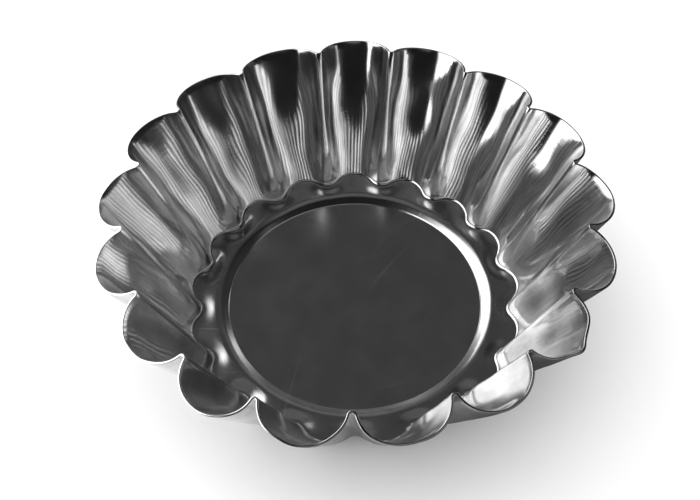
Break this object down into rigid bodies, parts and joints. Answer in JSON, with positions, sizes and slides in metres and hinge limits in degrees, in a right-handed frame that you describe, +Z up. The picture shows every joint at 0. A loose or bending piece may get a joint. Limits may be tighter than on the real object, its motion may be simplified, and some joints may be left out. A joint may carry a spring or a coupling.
{
  "type": "fluted tart pan",
  "caption": "Small round fluted tart tin pressed from one thin sheet of tinned steel, with flaring scalloped walls, a flat ledge and a stepped round bottom.",
  "frame": {"origin": "centre of the underside of the round bottom disc, the face that the tin stands on", "axes": "+Z up along the tin's axis, out of its mouth; an inward fold of the wall points along -Y"},
  "size_m": [0.0798, 0.0794, 0.0245],
  "materials": {
    "tinned_steel": "bright tinned sheet, rubbed and lightly drawn along the flutes"
  },
  "bodies": {
    "root": {"fluted_tin": "tinned_steel"}
  },
  "joints": []
}
